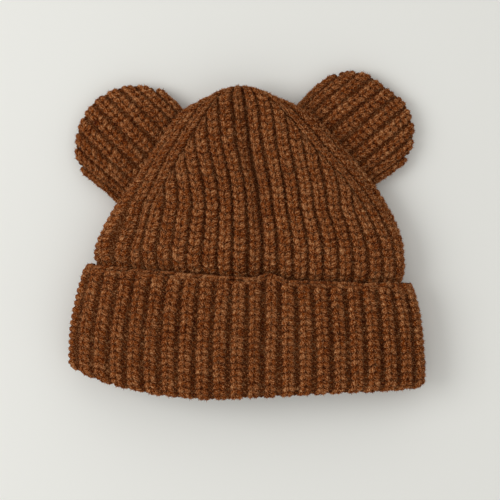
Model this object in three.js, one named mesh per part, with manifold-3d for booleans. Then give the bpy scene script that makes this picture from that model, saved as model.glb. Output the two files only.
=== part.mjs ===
// A baby's chunky rib-knit hat with a turned-up cuff and two round ears, lying on its back as it is put down.
// Millimetres, +Z up. The floor is z = 0, +Y runs from the mouth to the tip of the crown, +X runs across the hat.
// The origin is on the floor under the middle of the hat. The knit is hollow and open at the mouth.
import * as THREE from "three";
import { mergeVertices } from "three/addons/utils/BufferGeometryUtils.js";
import Module from "manifold-3d";

const wasm = await Module();
wasm.setup();

// The hat as it lies.
const hatLength = 157.5; // mouth fold to tip, along the side folds
const crownWidth = 166; // just above the cuff
const crownLoft = 31; // floor to the top of the crown just above the cuff
const cuffHeight = 56; // turned-up layer, along the side folds
const hemDepth = 10; // fold at the mouth, where both layers are one
const lipRound = 0.9; // how far the cuff's upper edge rounds over
const floorPress = 1; // how far the soft underside is pressed flat

// The knitted layer.
const wall = 4.6; // ridge to ridge, through one layer
const ribDepth = 1.4; // ridge to groove
const seamDepth = 0.8; // extra depth of the groove down the front seam
const ribCount = 44; // round the tube
const sideRibs = 6; // carried over each side fold, between two decrease lines
const gatherRibs = 2; // left beside the middle of the front and of the back when the last gather starts
const fullPitch = 7.2; // a rib is never knitted narrower than this until the last gather
const layerGap = 0.3; // clearance between pieces that touch
const pocketGap = 0.5; // clearance between the crown layer and the cuff round it

// The ears.
const earRadius = 32.4;
const earReach = 41.2; // from the crown's side to the ear's outer edge
const earThickness = 14;
const earRibs = 10; // on each face
const earTuck = 9; // how far the ear runs in before it is trimmed to the crown
const earEdgeDepth = 1.2; // scallop between the ribs at the outer edge

const yarn = new THREE.MeshStandardMaterial({ color: 0x74462a, roughness: 0.95, metalness: 0 });

// Rows of the tube under the cuff. up is a share of cuffHeight. side and top are heights as shares of crownLoft, the
// other columns shares of half the crown's width: bow is how far the front's middle hangs towards the mouth, lean how
// far the right side does, and wave how far the right half is drawn up and the left half down.
const cuffRows = [
  { up: 0.0, half: 1.099, side: 0.46, top: 0.94, bow: 0.098, lean: 0.06, wave: 0.036 },
  { up: 0.175, half: 1.106, side: 0.47, top: 0.97, bow: 0.088, lean: 0.06, wave: 0.03 },
  { up: 0.45, half: 1.096, side: 0.48, top: 0.99, bow: 0.069, lean: 0.061, wave: 0.02 },
  { up: 0.75, half: 1.065, centre: 0.008, side: 0.48, top: 0.98, bow: 0.046, lean: 0.062, wave: 0.008 },
  { up: 1.0, half: 1.028, centre: 0.012, side: 0.47, top: 0.96, bow: 0.031, lean: 0.064 },
];

// Rows of the crown above the cuff. rise is a share of the length left above the cuff, lift of the cuff's thickness
// under it, twist the seam's turn to the right in ribs, and roll how far the front is drawn over the tip and the back
// drawn down from it. The other columns are as above.
const crownRows = [
  { rise: 0.022, half: 1.003, centre: 0.012, side: 0.47, top: 0.97, lift: 1, bow: 0.03, lean: 0.063, twist: 0.9 },
  { rise: 0.12, half: 0.995, centre: 0.019, side: 0.45, top: 1, lift: 0.35, bow: 0.026, lean: 0.055, twist: 0.8 },
  { rise: 0.23, half: 0.96, centre: 0.037, side: 0.42, top: 1, bow: 0.02, lean: 0.045, twist: 0.65 },
  { rise: 0.36, half: 0.886, centre: 0.05, side: 0.4, top: 0.97, bow: 0.012, lean: 0.03, twist: 0.4 },
  { rise: 0.605, half: 0.678, centre: 0.034, side: 0.36, top: 0.86, lean: 0.008, twist: 0.05 },
  { rise: 0.715, half: 0.578, centre: 0.01, side: 0.34, top: 0.8 },
  { rise: 0.81, half: 0.483, centre: -0.004, side: 0.32, top: 0.74, bow: -0.02, roll: 0.01 },
  { rise: 0.882, half: 0.382, centre: -0.02, side: 0.3, top: 0.69, bow: -0.046, roll: 0.02 },
  { rise: 0.91, half: 0.255, centre: -0.032, side: 0.29, top: 0.61, bow: -0.068, roll: 0.036 },
  { rise: 0.936, half: 0.155, centre: -0.04, side: 0.28, top: 0.48, bow: -0.042, roll: 0.036 },
];
// What a row has in a column that it leaves out.
const plainRow = { centre: 0, lift: 0, bow: 0, lean: 0, wave: 0, twist: 0, roll: 0 };
const tipRow = { rise: 0.972, centre: -0.042, side: 0.27 };
const innerRows = 7; // of the rows above, those that the hollow inside the crown follows
const innerTipRise = 0.9; // the hollow ends here, below the drawn-up tip

// Soft dents in the front. rib is a share of a quarter of the tube, counted from the seam; ribReach and riseReach say
// how far each one spreads in the same shares, and depth is a share of crownLoft.
const dents = [
  { rib: -0.745, rise: 0.3, ribReach: 0.12, riseReach: 0.13, depth: 0.11 },
  { rib: 0.018, rise: 0.62, ribReach: 0.109, riseReach: 0.34, depth: 0.039 },
  { rib: 0.855, rise: 0.42, ribReach: 0.118, riseReach: 0.12, depth: 0.045 },
];

// Where each ear is sewn on: rise up the crown's side, and the angle of its axis from +Y, away from the middle.
const ears = [
  { name: "ear_left", side: -1, rise: 0.622, turn: 46 },
  { name: "ear_right", side: 1, rise: 0.695, turn: 50 },
];
const earRows = [0, 0.32, 0.6, 0.8, 0.93, 1]; // shares of each rib's run, closer at the round edge

const halfWidth = crownWidth / 2;
const quarterRibs = ribCount / 4;
const crownLength = hatLength - cuffHeight;
const layerStep = wall - ribDepth + pocketGap; // from the cuff's outer ridges to the crown layer's, ribs nested
const frontPower = 2.4; // roundness of the domed front's section
const backPower = 4; // the back lies flatter
const shortestStep = 0.16; // in ribs: a line closer than this to the decrease line ends on it
const samePoint = 0.05; // points of one row closer than this are one

// Where a rib's shoulders stand between two grooves. ridge is 0 in the groove and 1 on the rib.
const ribProfile = [
  { across: 0, ridge: 0 },
  { across: 0.24, ridge: 1 },
  { across: 0.76, ridge: 1 },
];

function ribColumns(first, last) {
  const columns = [];
  for (let rib = first; rib < last; rib += 1) {
    for (const { across, ridge } of ribProfile) columns.push({ rib: rib + across, ridge });
  }
  return columns;
}
const tubeColumns = ribColumns(-ribCount / 2, ribCount / 2);

// A rounded rectangle one unit across and high, square-cornered as power grows, at an angle from its right side.
function roundedSquare(angle, power) {
  const [across, up] = [Math.cos(angle), Math.sin(angle)];
  const reach = (Math.abs(across) ** power + Math.abs(up) ** power) ** (-1 / power);
  return [across * reach, up * reach];
}

// A row of either table in millimetres.
function sizedRow(row, y, rise) {
  const { half, side, top, centre, lift, bow, lean, wave, twist, roll } = { ...plainRow, ...row };
  const [halfAt, centreAt, bowAt, leanAt, waveAt, rollAt] = [half, centre, bow, lean, wave, roll]
    .map((share) => share * halfWidth);
  return {
    y, rise, twist, half: halfAt, centre: centreAt, bow: bowAt, lean: leanAt, wave: waveAt, roll: rollAt,
    side: side * crownLoft, top: top * crownLoft, lift: lift * layerStep,
  };
}

function underCuff(row) {
  return sizedRow({ ...row, lift: 1, twist: crownRows[0].twist }, row.up * cuffHeight, -1);
}

function aboveCuff(row) {
  return sizedRow(row, cuffHeight + row.rise * crownLength, row.rise);
}

// A point on the flattened section of a row, depth below its ridge line. angle 0 is the right side fold, 90 degrees
// the middle of the front. What would lie below the floor is pressed flat on it.
function sectionPoint(row, angle, depth) {
  const inFront = Math.sin(angle) > 0;
  const [across, up] = roundedSquare(angle, inFront ? frontPower : backPower);
  const reach = inFront ? row.top - row.side : row.side - (row.lift - floorPress);
  const bow = row.bow * (0.75 + 0.25 * up) * (1 - across * across);
  return new THREE.Vector3(
    row.centre + (row.half - depth) * across,
    row.y - bow - row.lean * across + row.wave * Math.sin(Math.PI * across) + row.roll * up,
    Math.max(0, row.side + (reach - depth) * up),
  );
}

// Lengths along a row's section, clockwise from the middle of the front, and the angle at any such length.
function sectionRuler(row) {
  const steps = 240;
  const lengths = [0];
  let last = sectionPoint(row, Math.PI / 2, 0);
  for (let step = 1; step <= steps; step += 1) {
    const next = sectionPoint(row, Math.PI / 2 - (step / steps) * 2 * Math.PI, 0);
    lengths.push(lengths[step - 1] + next.distanceTo(last));
    last = next;
  }
  const around = lengths[steps];
  const front = lengths[steps / 4];
  const back = lengths[steps / 2] - front;
  const angleAt = (length) => {
    const wanted = ((length % around) + around) % around;
    const step = lengths.findIndex((value) => value > wanted);
    const part = (wanted - lengths[step - 1]) / (lengths[step] - lengths[step - 1]);
    return Math.PI / 2 - ((step - 1 + part) / steps) * 2 * Math.PI;
  };
  return { front, back, angleAt };
}

// Where a rib line lies, from the middle of the front or back: place in ribs, length in millimetres. Ribs keep their
// width as the tube narrows, and end at the decrease line; the last few are drawn together at the tip.
function ribLine(rib, quarter) {
  const even = quarter / quarterRibs;
  const side = sideRibs / 2;
  const pitch = even >= fullPitch ? even : Math.min(fullPitch, quarter / (side + gatherRibs));
  const line = Math.max(0, quarter / pitch - side);
  if (rib > quarterRibs - side) {
    return { place: rib, length: quarter - (quarterRibs - rib) * pitch, ended: false, pitch };
  }
  const ended = rib > line - shortestStep;
  const place = ended ? line : rib;
  return { place, length: place * pitch, ended, pitch };
}

function dentDepth(rib, rise) {
  let depth = 0;
  for (const dent of dents) {
    const across = (rib / quarterRibs - dent.rib) / dent.ribReach;
    const along = (rise - dent.rise) / dent.riseReach;
    depth += dent.depth * crownLoft * Math.exp(-across * across - along * along);
  }
  return depth;
}

// One ring of the knit: face "outer" has ridges on the ribs, face "inner" has them on the grooves, and face "smooth"
// is the plain envelope. offset moves the ring inwards.
function knitRing(row, face, offset) {
  const ruler = sectionRuler(row);
  const ring = tubeColumns.map(({ rib, ridge }) => {
    const onFront = Math.abs(rib) <= quarterRibs;
    const fromMiddle = onFront ? Math.abs(rib) : ribCount / 2 - Math.abs(rib);
    const { place, length, ended, pitch } = ribLine(fromMiddle, onFront ? ruler.front : ruler.back);
    const turned = onFront ? length : ruler.front + ruler.back - length;
    const relief = ended ? 0 : ridge;
    const seam = onFront && place === 0 ? seamDepth : 0;
    const depths = {
      outer: (1 - relief) * ribDepth + seam,
      inner: wall - relief * ribDepth,
      smooth: 0,
    };
    const angle = ruler.angleAt(Math.sign(rib) * turned + row.twist * pitch);
    const soft = onFront && row.rise >= 0 ? dentDepth(Math.sign(rib) * place, row.rise) : 0;
    return sectionPoint(row, angle, depths[face] + soft + offset);
  });
  return ring.map((point, j) => {
    const first = ring.slice(0, j).find((other) => other.distanceTo(point) < samePoint);
    return first ?? point;
  });
}

function poleRing(rise, centre, side) {
  const pole = new THREE.Vector3(centre * halfWidth, cuffHeight + rise * crownLength, side * crownLoft);
  return tubeColumns.map(() => pole);
}

// Joins each ring to the next. looped joins the last to the first as well. Triangles with no area are dropped.
function ringSolid(rings, looped) {
  const positions = [];
  const strips = looped ? rings.length : rings.length - 1;
  for (let k = 0; k < strips; k += 1) {
    const near = rings[k];
    const far = rings[(k + 1) % rings.length];
    for (let j = 0; j < near.length; j += 1) {
      const next = (j + 1) % near.length;
      for (const point of [near[j], near[next], far[next], near[j], far[next], far[j]]) {
        positions.push(point.x, point.y, point.z);
      }
    }
  }
  const loose = new THREE.BufferGeometry();
  loose.setAttribute("position", new THREE.Float32BufferAttribute(positions, 3));
  const merged = mergeVertices(loose, 1e-3);
  const corners = [];
  for (let i = 0; i < merged.index.count; i += 3) {
    const [a, b, c] = [0, 1, 2].map((n) => merged.index.getX(i + n));
    if (a !== b && b !== c && c !== a) corners.push(a, b, c);
  }
  merged.setIndex(corners);
  return merged;
}

function toManifold(geometry) {
  return new wasm.Manifold(new wasm.Mesh({
    numProp: 3,
    vertProperties: new Float32Array(geometry.attributes.position.array),
    triVerts: new Uint32Array(geometry.index.array),
  }));
}

function fromManifold(solid) {
  const mesh = solid.getMesh();
  const geometry = new THREE.BufferGeometry();
  geometry.setAttribute("position", new THREE.BufferAttribute(mesh.vertProperties, 3));
  geometry.setIndex(new THREE.BufferAttribute(mesh.triVerts, 1));
  return geometry;
}

// The crown: one knitted layer from inside the cuff to the tip, hollow, with an open lower end.
function crownGeometry() {
  const hemTop = { ...underCuff(cuffRows[1]), y: hemDepth + layerGap };
  const lower = [hemTop, ...cuffRows.slice(2).map(underCuff)];
  const upper = crownRows.map(aboveCuff);
  const outer = [...lower, ...upper].map((row) => knitRing(row, "outer", 0));
  const inner = [...lower, ...upper.slice(0, innerRows)].map((row) => knitRing(row, "inner", 0));
  return ringSolid([
    ...outer,
    poleRing(tipRow.rise, tipRow.centre, tipRow.side),
    poleRing(innerTipRise, tipRow.centre, tipRow.side),
    ...inner.reverse(),
  ], true);
}

// The cuff: the layer turned up round the outside, with the rounded fold at the mouth and the hem inside it.
function cuffGeometry() {
  const rows = cuffRows.map(underCuff);
  const [mouth, hem, ...rest] = rows;
  const hemTop = { ...hem, y: hemDepth };
  const across = layerStep + wall; // both layers at the fold
  const foldRing = (turn) => {
    const reach = (Math.sin(turn) * across) / 2;
    const row = { ...mouth, y: mouth.y + across / 2 - Math.cos(turn) * (across / 2) };
    return knitRing(row, "outer", across / 2 - layerStep - reach);
  };
  const lip = rows[rows.length - 1];
  const lipTop = { ...lip, y: lip.y + lipRound };
  return ringSolid([
    ...[-Math.PI / 4, 0, Math.PI / 4].map(foldRing),
    knitRing(hemTop, "outer", -layerStep),
    ...rest.map((row) => knitRing(row, "outer", -layerStep)),
    knitRing(lipTop, "smooth", ribDepth - layerStep),
    knitRing(lipTop, "smooth", wall - ribDepth - layerStep),
    ...[...rest].reverse().map((row) => knitRing(row, "inner", -layerStep)),
    knitRing(hemTop, "inner", -layerStep),
    knitRing(hemTop, "inner", 0),
  ], true);
}

// The outside of the whole crown as one plain solid, grown by the layer gap. The ears are trimmed to it.
function crownEnvelope() {
  const rows = [...cuffRows.slice(2).map(underCuff), ...crownRows.map(aboveCuff)];
  const rings = rows.map((row) => knitRing({ ...row, rise: -1 }, "smooth", -layerGap));
  const [first] = rows;
  const base = new THREE.Vector3(0, first.y, first.side);
  return ringSolid([
    tubeColumns.map(() => base),
    ...rings,
    poleRing(tipRow.rise + layerGap / crownLength, tipRow.centre, tipRow.side),
  ], false);
}

// One ear in its own plane: x across, y away from the crown, z up from its middle. Ribs run outwards side by side and
// end at the round edge, fanned a little from the narrower base.
function earGeometry() {
  const centre = earReach - earRadius;
  const columns = [];
  for (let rib = 0; rib < earRibs; rib += 1) {
    for (const { across, ridge } of ribProfile) columns.push({ share: ((rib + across) / earRibs) * 2 - 1, ridge });
  }
  columns.push({ share: 1, ridge: 0 });
  const pointAt = ({ share, ridge }, run, face) => {
    const groove = 1 - ridge;
    const edge = centre + earRadius * Math.sqrt(1 - share * share) - groove * earEdgeDepth;
    const y = -earTuck + (edge + earTuck) * run;
    const below = Math.max(0, centre - y);
    const width = earRadius - 0.12 * below;
    const radial = Math.min(1, Math.hypot(share, Math.max(0, y - centre) / earRadius));
    const crest = (earThickness / 2) * Math.sqrt(1 - radial ** 3.2);
    const relief = run === 1 ? 0 : Math.min(crest * 0.5, groove * ribDepth);
    return new THREE.Vector3(share * width, y, face * (run === 1 ? 0 : crest - relief));
  };
  const underneath = columns.slice(1, -1).reverse();
  const faces = [...columns.map((column) => [column, 1]), ...underneath.map((column) => [column, -1])];
  const rings = earRows.map((run) => faces.map(([column, face]) => pointAt(column, run, face)));
  const base = faces.map(([column]) => pointAt(column, 0, 0));
  return ringSolid([base, ...rings], false);
}

function placedEar(ear, envelope) {
  const after = crownRows.findIndex((row) => row.rise > ear.rise);
  const part = (ear.rise - crownRows[after - 1].rise) / (crownRows[after].rise - crownRows[after - 1].rise);
  const [low, high] = [aboveCuff(crownRows[after - 1]), aboveCuff(crownRows[after])];
  const between = (key) => low[key] + (high[key] - low[key]) * part;
  const geometry = earGeometry();
  geometry.rotateZ(-ear.side * THREE.MathUtils.degToRad(ear.turn));
  geometry.translate(
    between("centre") + ear.side * between("half"),
    between("y") - ear.side * between("lean"),
    earThickness / 2 - floorPress,
  );
  const points = geometry.attributes.position;
  for (let i = 0; i < points.count; i += 1) points.setZ(i, Math.max(0, points.getZ(i)));
  return fromManifold(toManifold(geometry).subtract(envelope));
}

function namedMesh(name, geometry) {
  const mesh = new THREE.Mesh(geometry, yarn);
  mesh.name = name;
  geometry.computeVertexNormals();
  return mesh;
}

const hat = new THREE.Group();
hat.name = "baby_hat";
const envelope = toManifold(crownEnvelope());
hat.add(namedMesh("crown", crownGeometry()));
hat.add(namedMesh("cuff", cuffGeometry()));
for (const ear of ears) hat.add(namedMesh(ear.name, placedEar(ear, envelope)));

const box = new THREE.Box3().setFromObject(hat);
const middle = box.getCenter(new THREE.Vector3());
hat.position.set(-middle.x, -middle.y, -box.min.z);

export default hat;
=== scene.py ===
import math

import bmesh
import bpy
import numpy as np
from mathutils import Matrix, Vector
from mathutils.bvhtree import BVHTree


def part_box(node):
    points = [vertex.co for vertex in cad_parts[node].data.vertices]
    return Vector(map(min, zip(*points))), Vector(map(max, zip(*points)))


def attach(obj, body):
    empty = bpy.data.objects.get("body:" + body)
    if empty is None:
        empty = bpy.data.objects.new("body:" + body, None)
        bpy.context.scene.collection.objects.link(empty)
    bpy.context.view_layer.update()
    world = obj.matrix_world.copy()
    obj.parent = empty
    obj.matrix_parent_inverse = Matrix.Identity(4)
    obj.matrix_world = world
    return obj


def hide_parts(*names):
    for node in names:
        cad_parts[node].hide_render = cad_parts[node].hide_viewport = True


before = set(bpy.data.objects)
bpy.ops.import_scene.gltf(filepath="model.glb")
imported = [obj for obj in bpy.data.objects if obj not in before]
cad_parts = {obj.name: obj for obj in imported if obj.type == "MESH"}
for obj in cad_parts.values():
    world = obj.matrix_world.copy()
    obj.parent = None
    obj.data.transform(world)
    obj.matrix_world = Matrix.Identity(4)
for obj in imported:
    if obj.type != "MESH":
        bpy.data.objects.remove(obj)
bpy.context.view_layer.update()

dice = np.random.default_rng(11)  # for what differs from stitch to stitch
perMetre = 1000  # the grain of the yarn is given in millimetres

# The hat as it lies on its back, in metres.
hat = {
    "length": 0.1575,
    "crownWidth": 0.166,
    "crownLoft": 0.031,
    "cuffHeight": 0.056,
    "cuffTwist": 0.9,  # in ribs
    "floorPress": 0.001,
    "wall": 0.0046,
    "ribDepth": 0.0014,
    "ribPower": 3,  # how flat the ribs are and how narrow the grooves
    "leastRib": 0.02,  # share of a rib's width under which it is all groove
    "pocketGap": 0.0005,
    "hemTop": 0.0103,
    "ribCount": 44,
    "sideRibs": 6,
    "gatherRibs": 2,
    "fullPitch": 0.0072,
    "frontPower": 2.4,
    "backPower": 4.0,
    "cornerPowers": (9, 16),  # how sharp the corners of the cuff are, right and left
    "bowTilt": 0.25,  # how much less the rows bow on the back than on the front
    "innerTip": 0.9,  # rise of the hollow's end
    "innerRise": 0.86,  # where the hollow's wall ends
    "lipDip": (0.0026, 0.0005, 0.0035),  # of the crown behind the cuff's edge: depth, place above, reach
    # The peak of that edge beside the seam: height, place across, reach, and share of the cuff it draws up.
    "peak": (0.0034, 0.0122, 0.0058, 0.3),
    "seamDepth": 0.0025,
    "seamReach": 0.75,  # in ribs
}
halfWidth = hat["crownWidth"] / 2
crownLength = hat["length"] - hat["cuffHeight"]
layerStep = hat["wall"] - hat["ribDepth"] + hat["pocketGap"]
foldRadius = (layerStep + hat["wall"]) / 2
halfRibs = hat["ribCount"] // 2
quarterRibs = hat["ribCount"] / 4

# How finely the knit is drawn: metres between rows, and columns to a rib.
fineness = {
    "tubeRow": 0.0008,
    "cuffRow": 0.00045,
    "foldRows": 26,
    "shellColumns": 4,
    "stitchColumns": 8,
    "earShellColumns": 6,
    "treeColumns": 2,
    "crownEvery": 2,  # the shells take only some of the rows
    "liningEvery": 4,
    "cuffEvery": 3,
    "earEvery": 3,
    "treeEvery": 4,
    "aroundSteps": 480,
    "outlineSteps": 120,
    "curveSteps": 4000,
    "weld": 0.00002,
    "sliver": 0.000001,
    "leastWidth": 0.0001,
}

# Rows of the tube under the cuff: up, half, centre, side, top, bow, lean, wave, corner.
cuffTable = [
    (0.0, 1.099, 0.0, 0.46, 0.94, 0.098, 0.06, 0.036, -0.03),
    (0.175, 1.106, 0.0, 0.47, 0.97, 0.088, 0.058, 0.03, -0.015),
    (0.45, 1.096, 0.0, 0.48, 0.99, 0.069, 0.06, 0.02, 0.0),
    (0.75, 1.065, 0.008, 0.48, 0.98, 0.046, 0.062, 0.008, 0.01),
    (1.0, 1.028, 0.012, 0.47, 0.96, 0.031, 0.064, 0.0, 0.048),
]
# Rows of the crown above it: rise, half, centre, side, top, lift, bow, lean, twist, roll.
crownTable = [
    (0.022, 1.003, 0.012, 0.47, 0.97, 1.0, 0.03, 0.063, 0.9, 0.0),
    (0.12, 0.995, 0.019, 0.45, 1.0, 0.35, 0.026, 0.055, 0.8, 0.0),
    (0.23, 0.96, 0.037, 0.42, 1.0, 0.0, 0.02, 0.045, 0.65, 0.0),
    (0.36, 0.886, 0.047, 0.4, 0.97, 0.0, 0.012, 0.03, 0.4, 0.0),
    (0.48, 0.788, 0.05, 0.38, 0.92, 0.0, 0.004, 0.018, 0.2, 0.0),
    (0.605, 0.678, 0.03, 0.36, 0.86, 0.0, 0.0, 0.008, 0.05, 0.0),
    (0.715, 0.578, 0.01, 0.34, 0.8, 0.0, 0.0, 0.0, 0.0, 0.0),
    (0.81, 0.483, -0.004, 0.32, 0.74, 0.0, -0.02, 0.0, 0.0, 0.01),
    (0.882, 0.382, -0.02, 0.3, 0.69, 0.0, -0.046, 0.0, 0.0, 0.02),
    (0.91, 0.255, -0.032, 0.29, 0.61, 0.0, -0.068, 0.0, 0.0, 0.036),
    (0.936, 0.155, -0.04, 0.28, 0.48, 0.0, -0.042, 0.0, 0.0, 0.036),
]
tipPlace = (0.972, -0.042, 0.27)  # rise, centre, side
# Soft dents in the front: rib, rise, ribReach, riseReach, depth.
dentTable = [
    (-0.84, 0.25, 0.07, 0.2, 0.15),  # the fold at the left
    (-0.95, 0.18, 0.07, 0.15, -0.08),  # the bulge beside it
    (0.018, 0.62, 0.109, 0.34, 0.035),
    (-0.012, 0.58, 0.042, 0.27, 0.085),  # the fold along the seam
    (0.855, 0.42, 0.118, 0.12, 0.045),
]
rowNames = ("y", "half", "centre", "side", "top", "bottom", "bow", "lean", "twist", "roll", "wave", "corner")

shift = Vector((0, 0, 0))  # from the hat's own place to the frame, found below


def rowKnots():
    loft = hat["crownLoft"]
    press = hat["floorPress"]
    knots = []
    for up, half, centre, side, top, bow, lean, wave, corner in cuffTable:
        knots.append({"y": up * hat["cuffHeight"], "half": half * halfWidth, "centre": centre * halfWidth,
                      "side": side * loft, "top": top * loft, "bottom": layerStep - press,
                      "bow": bow * halfWidth, "lean": lean * halfWidth, "twist": hat["cuffTwist"],
                      "wave": wave * halfWidth, "corner": corner * halfWidth})
    for rise, half, centre, side, top, lift, bow, lean, twist, roll in crownTable:
        knots.append({"y": hat["cuffHeight"] + rise * crownLength, "half": half * halfWidth,
                      "centre": centre * halfWidth, "side": side * loft, "top": top * loft,
                      "bottom": lift * layerStep - press, "bow": bow * halfWidth, "lean": lean * halfWidth,
                      "twist": twist, "roll": roll * halfWidth})
    rise, centre, side = tipPlace
    knots.append({"y": hat["cuffHeight"] + rise * crownLength, "centre": centre * halfWidth,
                  "side": side * loft, "top": side * loft, "bottom": side * loft})
    return np.array([[knot.get(name, 0) for name in rowNames] for knot in knots], float)


# A smooth run of rows through the tables, close together and evenly spaced along the hat's outline.
def smoothRows(knots, spacing):
    padded = np.vstack([2 * knots[0] - knots[1], knots, 2 * knots[-1] - knots[-2]])
    q = np.linspace(0, len(knots) - 1.0001, fineness["curveSteps"])  # ends just short of the last knot
    k = q.astype(int)
    t = (q - k)[:, None]
    a, b, c, d = (padded[k + n] for n in range(4))
    fine = 0.5 * (2 * b + (c - a) * t + (2 * a - 5 * b + 4 * c - d) * t**2 + (3 * b - a - 3 * c + d) * t**3)
    fine[-1] = knots[-1]
    fine = dict(zip(rowNames, fine.T))
    reached = np.stack([fine["y"] - fine["bow"] + fine["roll"], fine["half"], fine["top"]], axis=1)
    run = runAlong(reached)
    even = np.linspace(0, run[-1], int(round(run[-1] / spacing)) + 1)
    return {name: np.interp(even, run, values) for name, values in fine.items()}


# Length along a line of points, from its first.
def runAlong(line):
    return np.concatenate([[0], np.cumsum(np.linalg.norm(np.diff(line, axis=0), axis=1))])


def takeRows(rows, wanted):
    return {name: values[wanted] for name, values in rows.items()}


def thinned(rows, every):
    return {name: values[::every] for name, values in rows.items()}


def rowsAtHeight(rows, y):
    return {name: np.interp(y, rows["y"], values) for name, values in rows.items()}


def unit(vectors):
    return vectors / np.maximum(np.linalg.norm(vectors, axis=-1, keepdims=True), 1e-12)


# A rounded rectangle one unit across and high, squarer as power grows.
def roundedSquare(angle, power):
    across, up = np.cos(angle), np.sin(angle)
    reach = (np.abs(across) ** power + np.abs(up) ** power) ** (-1 / power)
    return across * reach, up * reach


# Points on the flattened sections, depth below the ridge line. angle 0 is the right side fold.
def sectionPoints(rows, angle, depth):
    r = {name: values[:, None] for name, values in rows.items()}
    front = np.sin(angle) > 0
    frontAcross, frontUp = roundedSquare(angle, hat["frontPower"])
    backAcross, backUp = roundedSquare(angle, hat["backPower"])
    across = np.where(front, frontAcross, backAcross)
    up = np.where(front, frontUp, backUp)
    x = r["centre"] + np.maximum(0, r["half"] - depth) * across
    bow = r["bow"] * (1 - hat["bowTilt"] + hat["bowTilt"] * up) * (1 - across**2)
    y = r["y"] - bow - r["lean"] * across + r["wave"] * np.sin(math.pi * across) + r["roll"] * up
    rightPower, leftPower = hat["cornerPowers"]
    y = y - r["corner"] * np.abs(across) ** np.where(across > 0, rightPower, leftPower)
    high, place, reach, share = hat["peak"]
    nearLip = np.exp(-(((r["y"] - hat["cuffHeight"]) / (share * hat["cuffHeight"])) ** 2))
    y = y + np.where(front, high * nearLip * np.exp(-(((x - place) / reach) ** 2)), 0)
    upReach = np.where(front, r["top"] - r["side"], r["side"] - r["bottom"])
    z = np.maximum(0, r["side"] + np.maximum(0, upReach - depth) * up)
    return np.stack([x + shift.x, y + shift.y, z], axis=-1)


# Where rib lines run. Columns count ribs from the seam in the middle of the front round to the middle of the
# back. Ribs keep their width as the tube narrows, and end at decrease lines near its sides.
def columnAngles(rows, columns):
    steps = fineness["aroundSteps"]
    turn = math.pi / 2 - np.linspace(0, 2 * math.pi, steps + 1)
    count = len(rows["y"])
    around = sectionPoints(rows, np.tile(turn, (count, 1)), 0.0)
    around[..., 1] = 0  # lengths are measured across the tube
    pieces = np.linalg.norm(np.diff(around, axis=1), axis=2)
    lengths = np.concatenate([np.zeros((count, 1)), np.cumsum(pieces, axis=1)], axis=1)
    whole = np.maximum(lengths[:, -1], 1e-6)
    angles = np.zeros((count, len(columns)))
    shares = np.zeros((count, len(columns)))
    side = hat["sideRibs"] / 2
    onFront = np.abs(columns) <= quarterRibs
    fromMiddle = np.where(onFront, np.abs(columns), hat["ribCount"] / 2 - np.abs(columns))
    whichRib = np.minimum(np.floor(fromMiddle + 1e-9), quarterRibs - 1)
    within = fromMiddle - whichRib
    middle = fromMiddle <= quarterRibs - side
    for n in range(count):
        front = max(lengths[n, steps // 4], 1e-7)
        back = max(lengths[n, steps // 2] - lengths[n, steps // 4], 1e-7)
        quarter = np.where(onFront, front, back)
        even = quarter / quarterRibs
        narrowed = np.minimum(hat["fullPitch"], quarter / (side + hat["gatherRibs"]))
        pitch = np.where(even >= hat["fullPitch"], even, narrowed)
        line = np.maximum(0, quarter / pitch - side)
        share = np.where(middle, np.clip(line - whichRib, 0, 1), 1.0)
        place = np.minimum(whichRib, line) + within * share
        length = np.where(middle, place * pitch, quarter - (quarterRibs - fromMiddle) * pitch)
        turned = np.where(onFront, length, front + back - length)
        wanted = np.mod(np.sign(columns) * turned + rows["twist"][n] * pitch, whole[n])
        angles[n] = np.interp(wanted, lengths[n], turn)
        shares[n] = share
    return angles, shares


def dentDepths(rows, columns):
    rise = ((rows["y"] - hat["cuffHeight"]) / crownLength)[:, None]
    rib = (columns / quarterRibs)[None, :]
    depth = np.zeros((len(rows["y"]), len(columns)))
    for place, height, ribReach, riseReach, deep in dentTable:
        away = ((rib - place) / ribReach) ** 2 + ((rise - height) / riseReach) ** 2
        depth += deep * hat["crownLoft"] * np.exp(-away)
    return np.where((np.abs(columns) <= quarterRibs)[None, :] & (rise >= 0), depth, 0)


# How deep the ridge under a rib falls towards the grooves beside it, from 0 to 1.
def hollowing(columns):
    return np.abs(2 * (columns % 1) - 1) ** hat["ribPower"]


# One face of a knitted layer as a grid of points and normals, with the soft dents in it and grooves as deep
# as asked. facing is 1 where the rows run towards the tip on the outside, and -1 where they run back.
def layerFace(rows, columns, depth, facing, groove=0.0):
    angles, shares = columnAngles(rows, columns)
    hollow = np.where(shares > hat["leastRib"], hollowing(columns)[None, :], 1)
    soft = depth.reshape(len(depth), -1) + dentDepths(rows, columns) + groove * hollow
    soft = soft + hat["seamDepth"] * np.exp(-((columns / hat["seamReach"]) ** 2))[None, :]
    points = sectionPoints(rows, angles, soft)
    nudge = 0.01
    around = sectionPoints(rows, angles - nudge, soft) - sectionPoints(rows, angles + nudge, soft)
    count = len(depth)
    later = np.minimum(np.arange(count) + 1, count - 1)
    sooner = np.maximum(np.arange(count) - 1, 0)
    along = (sectionPoints(takeRows(rows, later), angles, soft[later])
             - sectionPoints(takeRows(rows, sooner), angles, soft[sooner]))
    normals = unit(facing * np.cross(around, along))
    return {"points": points, "normals": normals, "columns": columns, "facing": facing, "seam": True,
            "level": np.zeros(count), "roundness": stitch["crownRoundness"]}


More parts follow.
